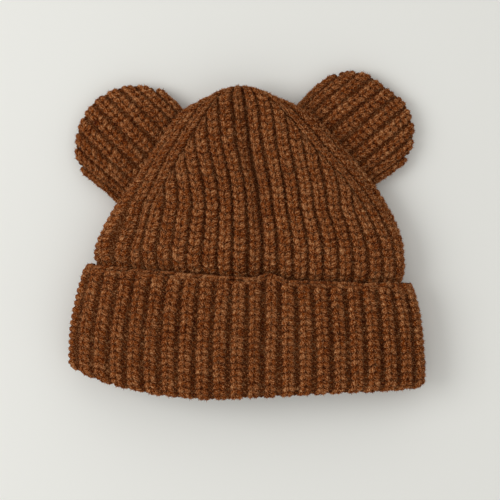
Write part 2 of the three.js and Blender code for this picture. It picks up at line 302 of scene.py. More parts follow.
# Knit stitches: sizes in metres, run in rows.
stitch = {
    "crownPitch": 0.0039,
    "cuffPitch": 0.00355,
    "earPitch": 0.0038,
    "start": 0.5,  # rows before the first stitch of a rib
    "ribWidth": 0.0074,
    "narrowestRib": 0.0021,
    "fill": 0.95,  # share of the rib's width that stitches may take
    "sizes": (0.55, 1.06),  # least height and most width of a leg, as shares of its full size
    "besideSeam": 0.9,  # size of the stitches along the seam
    "spread": (0.0001, 0.0023),  # from the rib's middle, at the foot and the head of a leg
    "spreadPower": 1.1,
    "run": (-0.46, 0.8),
    "halfWidth": 0.00155,
    "halfHeight": 0.00145,
    "bluntness": 0.3,  # of the ends of a leg
    "sink": 0.0011,  # middle of the leg under the ridge line
    "tuck": (0.0011, 0.04, 1.4),  # how much deeper its two ends go: depth, margin, power
    "crownRoundness": 0.0011,  # fall of the rib from its middle to its sides
    "cuffRoundness": 0.0018,
    "levelling": 0.8,  # share of that fall which is gone where the ribs are drawn flat
    "floorGap": 0.00002,
    "sway": (0.00022, 0.011, 0.00012),  # sideways along a rib: height of its waves, their reach, and scatter
    "heave": (0.00016, 0.017, 0.00009),  # the same up and down
    "phases": 6.3,  # where along its wave a rib may start
    "scatter": {"place": 0.035, "rib": 0.2, "size": 0.04, "length": 0.03},
    "tone": (0.8, 0.6),  # middle and scatter
    "endPaintedShade": (3.5, 0.06, 1.3),  # painted shade that darkens the two ends of a leg, where it dips between the stitches: amount, margin, power
    "lowPaintedShade": 2.5,  # painted shade that darkens the underside of a leg
    "yarnLength": 90,  # millimetres of yarn among which each leg's piece is picked
    "topLeg": (8, 7),  # sides and rings
    "lowLeg": (6, 5),
}


# The points and faces of a ball of radius 1.
def unitBall(sides, rings):
    bm = bmesh.new()
    bmesh.ops.create_uvsphere(bm, u_segments=sides, v_segments=rings, radius=1)
    ball = np.array([v.co[:] for v in bm.verts])
    faces = [[v.index for v in f.verts] for f in bm.faces]
    bm.free()
    return ball, faces


# Nothing in the middle of a leg and nearly 1 at its two ends.
def endness(t, margin, power):
    return (1 - np.sin(math.pi * (margin + (1 - 2 * margin) * t))) ** power


# One plump leg of a stitch, made from a ball: where its points are across the rib, along it in rows, and up,
# and their places in the yarn, and the painted shade that darkens its two ends and its underside.
def legShape(sides, rings):
    ball, faces = unitBall(sides, rings)
    t = (ball[:, 2] + 1) / 2
    fullness = np.maximum(np.hypot(ball[:, 0], ball[:, 1]), 1e-9) ** -stitch["bluntness"]
    out = ball[:, 0] * fullness
    up = ball[:, 1] * fullness
    low, high = stitch["spread"]
    start, end = stitch["run"]
    across = low + (high - low) * np.sin(0.5 * math.pi * t) ** stitch["spreadPower"]
    lean = (high - low) * 0.5 * math.pi * np.cos(0.5 * math.pi * t)
    length = (end - start) * stitch["crownPitch"]
    size = np.hypot(lean, length)
    tuck, tuckMargin, tuckPower = stitch["tuck"]
    deep = stitch["sink"] + tuck * endness(t, tuckMargin, tuckPower)
    u = across + out * stitch["halfWidth"] * length / size
    v = start + (end - start) * t - out * stitch["halfWidth"] * lean / size / stitch["crownPitch"]
    rise = up * stitch["halfHeight"] - deep
    radius = stitch["halfWidth"]
    place = perMetre * np.stack([ball[:, 0] * radius, ball[:, 1] * radius, t * length], axis=1)
    # Painted shade: the two ends of the leg and its underside are made darker, as if shaded by the stitches
    # around them.
    dark, darkMargin, darkPower = stitch["endPaintedShade"]
    shade = -dark * endness(t, darkMargin, darkPower) - stitch["lowPaintedShade"] * (1 - up) / 2
    return {"u": u, "v": v, "h": rise, "faces": faces, "yarn": place, "up": up, "shade": shade}


leg = legShape(*stitch["topLeg"])
plainLeg = legShape(*stitch["lowLeg"])


# Points on a face at fractional rows and columns, kept just short of its last ones, lifted along its normals.
def onFace(face, row, column, lift):
    columns = face["columns"]
    c = np.clip((column - columns[0]) / (columns[1] - columns[0]), 0, len(columns) - 1.001)
    r = np.clip(row, 0, len(face["points"]) - 1.001)
    i, j = r.astype(int), c.astype(int)
    a, b = (r - i)[..., None], (c - j)[..., None]

    def mix(grid):
        return ((1 - a) * (1 - b) * grid[i, j] + a * (1 - b) * grid[i + 1, j]
                + (1 - a) * b * grid[i, j + 1] + a * b * grid[i + 1, j + 1])

    return mix(face["points"]) + unit(mix(face["normals"])) * lift[..., None]


# How many columns a face has to a rib, and where one rib line is among them.
def columnPlace(face, rib):
    perRib = int(round(1 / (face["columns"][1] - face["columns"][0])))
    return perRib, int(round((rib - face["columns"][0]) * perRib))


# Joins laid legs or bars into one record.
def joined(parts):
    return {key: np.concatenate([part[key] for part in parts]) for key in parts[0]}


# A different piece of yarn for each of count legs, as an offset along it.
def yarnOffsets(count):
    return dice.uniform(0, stitch["yarnLength"], (count, 1, 1)) * np.array([0, 0, 1])


# A slow wave along a rib with a little scatter.
def wander(along, height, reach, scatter):
    wave = np.sin(along / reach + dice.uniform(0, stitch["phases"]))
    return height * wave + scatter * dice.normal(0, 1, len(along))


# Lays the two legs of each stitch along the ribs that begin at these columns, evenly from the face's first
# row. A face's level is 1 in rows where the ribs are drawn flat and the grooves filled.
def layStitches(face, ribs, pitch, start, shape=leg):
    parts = []
    fineRows = np.arange(len(face["points"]))
    scatter = stitch["scatter"]
    leastHigh, mostWide = stitch["sizes"]
    for rib in ribs:
        perRib, j = columnPlace(face, rib)
        width = np.linalg.norm(face["points"][:, j + perRib] - face["points"][:, j], axis=1)
        run = runAlong(face["points"][:, j + perRib // 2])
        count = int(run[-1] / pitch - start)
        spot = dice.normal(0, scatter["place"], count) + dice.uniform(-scatter["rib"], scatter["rib"])
        along = (start + np.arange(count) + spot) * pitch
        sway = wander(along, *stitch["sway"])
        heave = wander(along, *stitch["heave"])
        widthThere = np.interp(along, run, width)
        kept = widthThere > stitch["narrowestRib"]
        fitted = np.minimum(mostWide, widthThere * stitch["fill"] / stitch["ribWidth"])
        if face["seam"] and rib in (-1, 0):
            fitted = fitted * stitch["besideSeam"]
        for side in (1, -1):
            size = (fitted * (1 + dice.normal(0, scatter["size"], count)))[:, None]
            length = pitch * (1 + dice.normal(0, scatter["length"], count))[:, None]
            row = np.interp(along[:, None] + shape["v"] * length, run, fineRows)
            u = side * shape["u"] * size + sway[:, None]
            column = rib + 0.5 + u / np.maximum(widthThere, fineness["leastWidth"])[:, None]
            flat = stitch["levelling"] * np.interp(row, fineRows, face["level"])
            fall = face["roundness"] * (1 - flat) * (u / (stitch["ribWidth"] / 2)) ** 2
            lift = shape["h"] * np.maximum(size, leastHigh) - fall + heave[:, None]
            points = onFace(face, row, column, lift)
            points[..., 2] = np.maximum(points[..., 2], stitch["floorGap"] * (1 + side))
            place = shape["yarn"] * np.array([side, 1, 1]) + yarnOffsets(count)
            # Each leg's tone: scattered from leg to leg, plus the painted shade on its ends and underside.
            tone = dice.normal(*stitch["tone"], count)[:, None] + shape["shade"]
            parts.append({"points": points[kept], "yarn": place[kept], "tone": tone[kept],
                          "turned": np.full(kept.sum(), side * face["facing"])})
    return joined(parts)


# Puts a finished mesh in the scene as a knitted piece of the hat.
def knitPiece(name, mesh, material):
    mesh.polygons.foreach_set("use_smooth", np.ones(len(mesh.polygons), bool))
    mesh.materials.append(material)
    piece = bpy.data.objects.new(name, mesh)
    bpy.context.scene.collection.objects.link(piece)
    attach(piece, "root")
    return piece


# Joins laid legs into one mesh, with each leg's yarn place and its tone, painted shade included, kept on its
# points.
def stitchPiece(name, laid, material, faces=leg["faces"]):
    count, size = laid["tone"].shape
    loops = np.array([i for face in faces for i in face])
    flipped = np.array([i for face in faces for i in face[::-1]])
    sizes = np.array([len(face) for face in faces])
    mesh = bpy.data.meshes.new(name)
    mesh.vertices.add(count * size)
    mesh.vertices.foreach_set("co", laid["points"].astype(np.float32).ravel())
    every = np.where((laid["turned"] < 0)[:, None], loops, flipped) + np.arange(count)[:, None] * size
    mesh.loops.add(count * len(loops))
    mesh.loops.foreach_set("vertex_index", every.ravel().astype(np.int32))
    starts = np.concatenate([[0], np.cumsum(np.tile(sizes, count))[:-1]])
    mesh.polygons.add(count * len(sizes))
    mesh.polygons.foreach_set("loop_start", starts.astype(np.int32))
    mesh.update(calc_edges=True)
    mesh.validate()
    yarnPlace = mesh.attributes.new("yarnPlace", "FLOAT_VECTOR", "POINT")
    yarnPlace.data.foreach_set("vector", laid["yarn"].astype(np.float32).ravel())
    toneAndPaintedShade = mesh.attributes.new("toneAndPaintedShade", "FLOAT", "POINT")
    toneAndPaintedShade.data.foreach_set("value", laid["tone"].astype(np.float32).ravel())
    knitPiece(name, mesh, material)
    print(name, len(mesh.polygons), "faces")


# A closed shell from a grid of points. Where its rows or columns are looped, the last one meets the first.
def shellPiece(name, points, rowsLooped, columnsLooped):
    rows, columns = points.shape[:2]
    down = rows if rowsLooped else rows - 1
    across = columns if columnsLooped else columns - 1
    bm = bmesh.new()
    bmesh.ops.create_grid(bm, x_segments=across, y_segments=down, size=1)
    for v in bm.verts:
        column = int(round((v.co.x + 1) / 2 * across)) % columns
        row = int(round((v.co.y + 1) / 2 * down)) % rows
        v.co = points[row, column]
    bmesh.ops.remove_doubles(bm, verts=bm.verts, dist=fineness["weld"])
    bmesh.ops.dissolve_degenerate(bm, dist=fineness["sliver"], edges=bm.edges)
    bmesh.ops.recalc_face_normals(bm, faces=bm.faces)
    loose = sum(not e.is_manifold for e in bm.edges)
    mesh = bpy.data.meshes.new(name)
    bm.to_mesh(mesh)
    bm.free()
    print(name, len(mesh.polygons), "faces,", loose, "loose edges")
    # Every shell takes the darker groove yarn: painted shade under the stitches.
    return knitPiece(name, mesh, grooveYarnPaintedShade)


# Colours and grain of the yarn.
yarn = {
    "dark": (0.055, 0.0058, 0.0001),
    "middle": (0.27, 0.062, 0.007),
    "light": (0.66, 0.335, 0.145),
    "toMiddle": (0.72, 0.96),  # grain at which the dark ends and the middle colour is reached
    "toLight": (0.95, 1.22),
    # How strongly the tone kept on the stitches, painted shade included, moves the grain.
    "toneAndShadeWeight": 0.046,
    "stretch": 0.28,  # of the fibres along the strand
    "fleckScale": 2.0,
    "fleckWeight": 0.7,
    "mottleScale": 0.11,
    "mottle": 0.16,
    "roughness": 0.9,
    "specular": 0.06,
    "sheen": 0.08,
    "sheenRoughness": 0.45,
    "sheenTint": (0.7, 0.42, 0.24, 1),
    "bump": 0.9,
    "bumpDistance": 0.001,
}


# Adds a node. Its inputs are set to values or linked to sockets, and its output sockets are given back.
def addNode(tree, kind, inputs, **settings):
    made = tree.nodes.new(kind)
    for key, value in settings.items():
        setattr(made, key, value)
    for key, value in inputs.items():
        if isinstance(value, bpy.types.NodeSocket):
            tree.links.new(value, made.inputs[key])
        else:
            made.inputs[key].default_value = value
    return made.outputs


# Heathered wool: fibres that wind round the strand. Places are in millimetres, across, across and along it.
def heatheredYarnGroup():
    group = bpy.data.node_groups.new("heatheredYarn", "ShaderNodeTree")
    for label, kind in (("Place", "Vector"), ("ToneAndShade", "Float"), ("Dark", "Color"), ("Middle", "Color"),
                        ("Light", "Color"), ("Twist", "Float"), ("Fibres", "Float"), ("Around", "Vector")):
        group.interface.new_socket(name=label, in_out="INPUT", socket_type="NodeSocket" + kind)
    for label, kind in (("Colour", "Color"), ("Height", "Float")):
        group.interface.new_socket(name=label, in_out="OUTPUT", socket_type="NodeSocket" + kind)
    inside = group.nodes.new("NodeGroupInput").outputs

    def noise(place, scale, detail, roughness, distortion):
        return addNode(group, "ShaderNodeTexNoise", {"Vector": place, "Scale": scale, "Detail": detail,
                                                     "Roughness": roughness, "Distortion": distortion})[0]

    def weighted(value, weight, added):
        return addNode(group, "ShaderNodeMath", {0: value, 1: weight, 2: added}, operation="MULTIPLY_ADD")[0]

    def blend(grain, limits, below, above):
        ends = {"Value": grain, "From Min": limits[0], "From Max": limits[1]}
        step = addNode(group, "ShaderNodeMapRange", ends, interpolation_type="SMOOTHSTEP")[0]
        # A colour mix has its factor at 0, its two colours at 6 and 7, and its result at 2.
        return addNode(group, "ShaderNodeMix", {0: step, 6: below, 7: above}, data_type="RGBA")[2]

    along = addNode(group, "ShaderNodeSeparateXYZ", {0: inside["Place"]})["Z"]
    turn = addNode(group, "ShaderNodeMath", {0: along, 1: inside["Twist"]}, operation="MULTIPLY")[0]
    wound = addNode(group, "ShaderNodeVectorRotate", {"Vector": inside["Place"], "Angle": turn},
                    rotation_type="Z_AXIS")[0]
    stretched = addNode(group, "ShaderNodeVectorMath", {0: wound, 1: (1, 1, yarn["stretch"])},
                        operation="MULTIPLY")[0]
    fibres = noise(stretched, inside["Fibres"], detail=1.5, roughness=0.5, distortion=0.6)
    flecks = noise(inside["Place"], yarn["fleckScale"], detail=0.0, roughness=0.5, distortion=0.6)
    mottle = noise(inside["Around"], yarn["mottleScale"], detail=2.0, roughness=0.6, distortion=0.3)
    # The tone kept on the stitches holds their painted shade too, and it darkens the grain.
    shadedTone = weighted(inside["ToneAndShade"], yarn["toneAndShadeWeight"], fibres)
    flecked = weighted(flecks, yarn["fleckWeight"], shadedTone)
    patchy = weighted(mottle, yarn["mottle"], flecked)
    base = blend(patchy, yarn["toMiddle"], inside["Dark"], inside["Middle"])
    colour = blend(patchy, yarn["toLight"], base, inside["Light"])
    addNode(group, "NodeGroupOutput", {"Colour": colour, "Height": flecked})
    return group


heatheredYarn = heatheredYarnGroup()


# shade makes the yarn lighter or darker, and where it is below 1 it is painted shade. Its grain follows each
# strand if wound, else the hat as a whole.
def knitMaterial(name, wound, shade, fibres, twist):
    material = bpy.data.materials.new(name)
    material.use_nodes = True
    tree = material.node_tree
    shader = tree.nodes["Principled BSDF"]
    shader.inputs["Roughness"].default_value = yarn["roughness"]
    shader.inputs["Specular IOR Level"].default_value = yarn["specular"]
    shader.inputs["Sheen Weight"].default_value = yarn["sheen"]
    shader.inputs["Sheen Roughness"].default_value = yarn["sheenRoughness"]
    shader.inputs["Sheen Tint"].default_value = yarn["sheenTint"]
    metres = addNode(tree, "ShaderNodeTexCoord", {})["Object"]
    millimetres = addNode(tree, "ShaderNodeVectorMath", {0: metres, "Scale": perMetre}, operation="SCALE")[0]
    inputs = {"Fibres": fibres, "Twist": twist, "Around": millimetres, "Place": millimetres}
    for key in ("dark", "middle", "light"):
        inputs[key.capitalize()] = (*(shade * c for c in yarn[key]), 1)
    if wound:
        inputs["Place"] = addNode(tree, "ShaderNodeAttribute", {}, attribute_name="yarnPlace")["Vector"]
        inputs["ToneAndShade"] = addNode(tree, "ShaderNodeAttribute", {}, attribute_name="toneAndPaintedShade")["Fac"]
    strand = addNode(tree, "ShaderNodeGroup", inputs, node_tree=heatheredYarn)
    tree.links.new(strand["Colour"], shader.inputs["Base Color"])
    bump = addNode(tree, "ShaderNodeBump", {"Strength": yarn["bump"], "Distance": yarn["bumpDistance"],
                                            "Height": strand["Height"]})
    tree.links.new(bump["Normal"], shader.inputs["Normal"])
    return material


stitchYarn = knitMaterial("stitchYarn", wound=True, shade=1.0, fibres=1.7, twist=0.9)
# The two groove yarns are darker: painted shade in the grooves and under the stitches.
grooveStitchPaintedShade = knitMaterial("grooveStitchPaintedShade", wound=True, shade=0.62, fibres=1.7, twist=0.9)
grooveYarnPaintedShade = knitMaterial("grooveYarnPaintedShade", wound=False, shade=0.45, fibres=1.7, twist=0.0)
fibre = knitMaterial("looseFibre", wound=True, shade=1.25, fibres=1.0, twist=0.0)

# What lies under the stitches: depths below the ridge line, and how much deeper the grooves go.
under = {
    "ridge": 0.0011,
    "groove": 0.0019,
    "back": 0.0033,
    "backGroove": 0.0011,
    "levelGroove": 0.25,  # share of a groove that is left where the cuff is level
    "lipShare": 0.5,  # of the dip behind the cuff's edge
    "gatherHalf": 0.0045,  # half width at which the crown is drawn together
    "tipPoint": 0.0008,
    "hemGap": 0.0003,  # between the crown and the end of the cuff
    "aboveCuff": 0.006,  # how far the stitches of the crown go down behind the cuff's edge
    "edgeRoom": 0.0022,  # above the lip, for the cast-off edge
    "levelReach": (0.0065, 0.0036),  # of the level part of the cuff, at its fold and at its edge
}


# Columns from one rib line to another, both counted in.
def columnsBetween(first, last, perRib):
    return np.linspace(first, last, (last - first) * perRib + 1)


# How deep the crown dips in these rows behind the edge of the cuff.
def lipDips(rows):
    depth, above, reach = hat["lipDip"]
    return depth * np.exp(-(((rows["y"] - hat["cuffHeight"] - above) / reach) ** 2))


tubeColumns = columnsBetween(-halfRibs, halfRibs, fineness["shellColumns"])[:-1]
stitchColumns = columnsBetween(-halfRibs, halfRibs, fineness["stitchColumns"])
tubeRows = smoothRows(rowKnots(), fineness["tubeRow"])
outline = np.linspace(0, 2 * math.pi, fineness["outlineSteps"] + 1)
outline = np.tile(outline, (len(tubeRows["y"]), 1))
cuffBox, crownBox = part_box("cuff"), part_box("crown")
shift.y = crownBox[1].y - sectionPoints(tubeRows, outline, 0.0)[..., 1].max()
shift.x = (cuffBox[0].x + cuffBox[1].x) / 2
print("tube rows", len(tubeRows["y"]))

# Crown: from the hem inside the cuff to the tip, and back down the hollow.
wallRows = takeRows(tubeRows, tubeRows["y"] >= hat["hemTop"])
wallRows = takeRows(wallRows, wallRows["half"] > under["gatherHalf"])
shellRows = thinned(wallRows, fineness["crownEvery"])
lining = takeRows(wallRows, wallRows["y"] <= hat["cuffHeight"] + crownLength * hat["innerRise"])
lining = thinned(lining, fineness["liningEvery"])
outerDepth = under["ridge"] + under["lipShare"] * lipDips(shellRows)
innerDepth = np.full(len(lining["y"]), under["back"])
outer = layerFace(shellRows, tubeColumns, outerDepth, 1, under["groove"])["points"]
inner = layerFace(lining, tubeColumns, innerDepth, 1, under["backGroove"])["points"]
tip = outer[-1:].mean(axis=1, keepdims=True) + 0 * outer[-1:]
tip[..., 1] += under["tipPoint"]
innerTip = tip.copy()
innerTip[..., 1] = shift.y + hat["cuffHeight"] + crownLength * hat["innerTip"]
crown = shellPiece("crownKnit", np.concatenate([tip, outer[::-1], inner, innerTip]), False, True)
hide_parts("crown")

aboveRows = takeRows(tubeRows, tubeRows["y"] > hat["cuffHeight"] - under["aboveCuff"])
crownFace = layerFace(aboveRows, stitchColumns, lipDips(aboveRows), 1)

# Cuff: down the outside, round the fold and up inside to the hem.
cuffTop = hat["cuffHeight"] + under["edgeRoom"]
outsideDown = np.arange(cuffTop, foldRadius, -fineness["cuffRow"])
turns = np.linspace(math.pi / 2, -math.pi / 2, fineness["foldRows"])
insideUp = np.arange(foldRadius, hat["hemTop"] - under["hemGap"], fineness["cuffRow"])
pathY = np.concatenate([outsideDown, foldRadius * (1 - np.cos(turns)), insideUp])
foldDepth = foldRadius - layerStep - np.sin(turns) * foldRadius
pathDepth = np.concatenate([0 * outsideDown - layerStep, foldDepth, 0 * insideUp + hat["wall"]])
pathRows = rowsAtHeight(tubeRows, pathY)
pathRows["y"] = pathY
cuffFace = layerFace(pathRows, stitchColumns, pathDepth, -1)
fromFold = np.concatenate([outsideDown, 0 * turns, insideUp])
fromLip = cuffTop - pathY + (np.arange(len(pathY)) >= len(outsideDown))  # a metre more from the fold on
foldReach, lipReach = under["levelReach"]
cuffFace["level"] = np.exp(-((fromFold / foldReach) ** 2)) + np.exp(-((fromLip / lipReach) ** 2))
cuffFace["roundness"] = stitch["cuffRoundness"]
smoothCuff = layerFace(pathRows, tubeColumns, pathDepth, -1)
ungrooved = (1 - under["levelGroove"]) * cuffFace["level"][:, None]
grooved = under["groove"] * (1 - ungrooved) * hollowing(tubeColumns)
outerCuff = smoothCuff["points"] - smoothCuff["normals"] * (under["ridge"] + grooved)[..., None]
innerCuff = smoothCuff["points"] - smoothCuff["normals"] * under["back"]
below = int(under["edgeRoom"] / fineness["cuffRow"])
taken = slice(below, None, fineness["cuffEvery"])
cuffLoop = np.concatenate([outerCuff[taken], innerCuff[taken][::-1]])
cuffLoop[..., 2] = np.maximum(cuffLoop[..., 2], 0)
cuff = shellPiece("cuffKnit", cuffLoop, True, True)
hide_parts("cuff")

# The cast-off edge: a chain of small stitches that lies along the top of the cuff.
edge = {
    "perRib": 3,
    "place": 0.0017,  # from the end of the cuff's face
    "length": 1.15,
    "spread": 0.5,
    "thickness": 0.8,
    "sink": 0.0004,
    "scatter": {"size": 0.1, "along": 0.04, "up": 0.00025, "lift": 0.0002},
    "tone": (0.8, 1),
}


def layChain(face):
    parts = []
    scatter = edge["scatter"]
    columns = columnsBetween(-halfRibs, halfRibs, edge["perRib"])[:-1, None]
    count = len(columns)
    for side in (1, -1):
        size = 1 + dice.normal(0, scatter["size"], (count, 1))
        column = columns + leg["v"] / edge["perRib"] * edge["length"] * size
        column = column + dice.normal(0, scatter["along"], (count, 1))
        column = (column + halfRibs) % hat["ribCount"] - halfRibs
        up = side * leg["u"] * edge["spread"] * size + scatter["up"] * dice.normal(0, 1, (count, 1))
        lift = leg["h"] * edge["thickness"] * size - edge["sink"]
        lift = lift + scatter["lift"] * dice.normal(0, 1, (count, 1))
        points = onFace(face, (edge["place"] + up) / fineness["cuffRow"], column, lift)
        points[..., 2] = np.maximum(points[..., 2], stitch["floorGap"] * (1 + side))
        place = leg["yarn"] + yarnOffsets(count)
        # The chain's tone takes in the painted shade of the leg's ends and underside too.
        tone = dice.normal(*edge["tone"], (count, 1)) + leg["shade"]
        parts.append({"points": points, "yarn": place, "tone": tone,
                      "turned": np.full(count, -side * face["facing"])})
    return joined(parts)


everyRib = range(-halfRibs, halfRibs)
frontRibs = [rib for rib in everyRib if abs(rib + 0.5) < quarterRibs]
backRibs = [rib for rib in everyRib if abs(rib + 0.5) > quarterRibs]
cuffStart = stitch["start"] + under["edgeRoom"] / stitch["cuffPitch"]
layers = (("Front", frontRibs, leg), ("Back", backRibs, plainLeg))
laidCrown = {name: layStitches(crownFace, ribs, stitch["crownPitch"], stitch["start"], shape)
             for name, ribs, shape in layers}
laidCuff = {name: layStitches(cuffFace, ribs, stitch["cuffPitch"], cuffStart, shape)
            for name, ribs, shape in layers}
chain = layChain(cuffFace)
for name, _, shape in layers:
    stitchPiece("crownStitches" + name, laidCrown[name], stitchYarn, shape["faces"])
    stitchPiece("cuffStitches" + name, laidCuff[name], stitchYarn, shape["faces"])
stitchPiece("cuffEdge", chain, stitchYarn)

# Purl bumps down the grooves: small rounded bars across each one, a row apart.
purl = {
    "halfLength": 0.0019,
    "halfWidth": 0.00115,
    "halfHeight": 0.0009,
    "droop": 0.0007,  # of a bar's two ends
    "sink": 0.0026,
    "levelSink": 0.0012,
    "crownShare": 0.75,  # of its length across a groove
    "narrowestRib": 0.0042,
    "narrowestEarRib": 0.003,
    "floorGap": 0.00005,
    "scatter": {"place": 0.06, "lift": 0.0001},
    # The bars' tone sits below the legs': painted shade in the grooves; middle and scatter.
    "tone": (-1, 1),
    "grain": (1.1, 1.1, 2),  # half sizes of its piece of yarn, in millimetres
    "ball": (6, 4),  # sides and rings
}


def barShape(sides, rings):
    ball, faces = unitBall(sides, rings)
    rise = ball[:, 1] * purl["halfHeight"] - purl["droop"] * ball[:, 2] ** 2
    return {"u": ball[:, 2] * purl["halfLength"], "v": ball[:, 0] * purl["halfWidth"], "h": rise,
            "faces": faces, "yarn": ball * np.array(purl["grain"])}


bar = barShape(*purl["ball"])


# Lays bars along the grooves at these rib lines, where the ribs beside them are wide enough.
def layBars(face, grooves, pitch, start, share, narrowest):
    parts = []
    fineRows = np.arange(len(face["points"]))
    for groove in grooves:
        perRib, j = columnPlace(face, groove)
        line = face["points"][:, j]
        later = min(j + perRib // 2, len(face["columns"]) - 1)
        width = 2 * np.linalg.norm(face["points"][:, later] - line, axis=1)
        run = runAlong(line)
        count = int(run[-1] / pitch - start)
        along = (start + np.arange(count) + dice.normal(0, purl["scatter"]["place"], count)) * pitch
        widthThere = np.interp(along, run, width)
        kept = widthThere > narrowest
        row = np.interp(along[:, None] + bar["v"], run, fineRows)
        column = groove + share * bar["u"] / np.maximum(widthThere, fineness["leastWidth"])[:, None]
        level = np.interp(row, fineRows, face["level"])
        sink = purl["sink"] + (purl["levelSink"] - purl["sink"]) * level
        lift = bar["h"] - sink + purl["scatter"]["lift"] * dice.normal(0, 1, (count, 1))
        points = onFace(face, row, column, lift)
        points[..., 2] = np.maximum(points[..., 2], purl["floorGap"])
        place = bar["yarn"] + yarnOffsets(count)
        tone = dice.normal(*purl["tone"], (count, 1)) + 0 * bar["h"]
        parts.append({"points": points[kept], "yarn": place[kept], "tone": tone[kept],
                      "turned": np.full(kept.sum(), face["facing"])})
    return joined(parts)


crownBars = layBars(crownFace, everyRib, stitch["crownPitch"], stitch["start"], purl["crownShare"],
                    purl["narrowestRib"])
stitchPiece("crownGrooves", crownBars, grooveStitchPaintedShade, bar["faces"])
cuffBars = layBars(cuffFace, everyRib, stitch["cuffPitch"], cuffStart, 1, purl["narrowestRib"])
stitchPiece("cuffGrooves", cuffBars, grooveStitchPaintedShade, bar["faces"])

# Ears: two knitted faces in one piece, ribs running out over the round edge and back. Sizes in metres.
ear = {
    "radius": 0.0324,
    "reach": 0.0412,
    "thickness": 0.014,
    "ribs": 10,
    "tuck": 0.009,  # how far it goes on inside the crown
    "narrowing": 0.12,
    "plumpness": 3.2,  # flatter in the middle and rounder at the rim as it grows
    "pinch": (0.38, 0.0065),  # share of the thickness drawn in at the seam, and how far out it reaches
    "evening": 0.45,  # how far the outer ribs are narrowed, so that rib ends are spaced evenly along the rim
    # Where each ear is. A trim of its rim has an angle from the ear's axis, a reach in degrees, and a depth.
    "earLeft": {"node": "ear_left", "side": -1, "rise": 0.622, "turn": 46, "start": 0.2,
                "trims": ((-96, 24, 0.0024),)},
    "earRight": {"node": "ear_right", "side": 1, "rise": 0.706, "turn": 50, "start": 0.5,
                 "trims": ((-12, 20, 0.0026), (98, 24, 0.0018))},
    "fill": 0.4,
    "bodyInset": 0.75,
    "bodyGroove": 0.6,  # of the depth of the other grooves
    "bodyInCrown": 0.0032,  # how deep in the crown the body is closed
    "stitchInCrown": 0.0022,  # how deep in the crown its stitches are still kept
    "proud": 0.0007,
    "levelReach": 0.5,  # of the level rim
    "straightRows": 60,
    "rimRows": 151,
}


# The face of one ear as a grid: rows run from the seam out over the edge and back to the seam underneath.
def earFace(one, columns, inset):
    side, rise = one["side"], one["rise"]
    centre = ear["reach"] - ear["radius"]
    share = 2 * columns / ear["ribs"] - 1
    share = share + ear["evening"] * (np.sin(share * math.pi / 2) - share)
    chord = np.sqrt(np.maximum(0, 1 - share**2))
    span = np.maximum(0, chord * ear["radius"] - inset)
    straight = np.linspace(-ear["tuck"], centre, ear["straightRows"], endpoint=False)
    turned = np.linspace(0, math.pi, ear["rimRows"])
    bulge = np.concatenate([0 * straight, np.sin(turned), 0 * straight])[:, None]
    y = np.concatenate([straight, centre + 0 * turned, straight[::-1]])[:, None] + bulge * span
    radial = np.minimum(1, np.hypot(share, bulge * chord))
    overRim = np.sign(np.round(np.cos(turned), 9))  # 1 above the rim, -1 below it
    above = np.concatenate([0 * straight + 1, overRim, 0 * straight - 1])[:, None]
    z = above * (ear["thickness"] / 2 - inset) * np.sqrt(np.maximum(0, 1 - radial ** ear["plumpness"]))
    drawn, drawnReach = ear["pinch"]
    z = z * (1 - drawn * np.exp(-((np.maximum(0, y) / drawnReach) ** 2)))
    x = share * (ear["radius"] - np.max(inset) - ear["narrowing"] * np.maximum(0, centre - y))
    nearRim = np.minimum(1, np.hypot(x, y - centre) / ear["radius"]) ** 2
    around = np.degrees(np.arctan2(x, y - centre))
    trim = sum(depth / ear["radius"] * np.exp(-(((around - place) / wide) ** 2))
               for place, wide, depth in one["trims"])
    x = x * (1 - trim * nearRim)
    y = centre + (y - centre) * (1 - trim * nearRim)
    angle = -side * math.radians(one["turn"])
    row = rowsAtHeight(tubeRows, hat["cuffHeight"] + rise * crownLength)
    rootX = shift.x + row["centre"] + side * row["half"]
    rootY = shift.y + hat["cuffHeight"] + rise * crownLength - side * row["lean"]
    points = np.stack([rootX + x * math.cos(angle) - y * math.sin(angle),
                       rootY + x * math.sin(angle) + y * math.cos(angle),
                       z + ear["thickness"] / 2 - hat["floorPress"]], axis=-1)
    points[..., 2] = np.maximum(0, points[..., 2])
    return points


# The crown's ridge line as a tree of coarse faces.
def crownTree():
    rows = thinned(tubeRows, fineness["treeEvery"])
    columns = columnsBetween(-halfRibs, halfRibs, fineness["treeColumns"])
    grid = layerFace(rows, columns, np.zeros(len(rows["y"])), 1)["points"]
    wide = grid.shape[1]
    quads = [(r * wide + c, r * wide + c + 1, (r + 1) * wide + c + 1, (r + 1) * wide + c)
             for r in range(len(rows["y"]) - 1) for c in range(wide - 1)]
    return BVHTree.FromPolygons([Vector(p) for p in grid.reshape(-1, 3)], quads)


ridgeTree = crownTree()


# How far points stand outside the crown's ridge line, less than zero where they are inside it.
def outsideCrown(points):
    far = np.zeros(len(points))
    for n, point in enumerate(points):
        nearest, normal, _, distance = ridgeTree.find_nearest(Vector(point))
        far[n] = distance if (Vector(point) - nearest).dot(normal) > 0 else -distance
    return far


# A body under the stitches, closed where it meets the crown.
def earBody(name, points):
    rows, columns = points.shape[:2]
    for column in range(columns):
        outside = outsideCrown(points[:, column]) > -ear["bodyInCrown"]
        first = int(np.argmax(outside))
        last = rows - 1 - int(np.argmax(outside[::-1]))
        points[:first, column] = points[first, column]
        points[last + 1 :, column] = points[last, column]
    return shellPiece(name, points, True, False)


# What is laid on an ear and doesn't lie inside the crown.
def clearOfCrown(laid):
    kept = outsideCrown(laid["points"].mean(axis=1)) > -ear["stitchInCrown"]
    return {key: value[kept] for key, value in laid.items()}


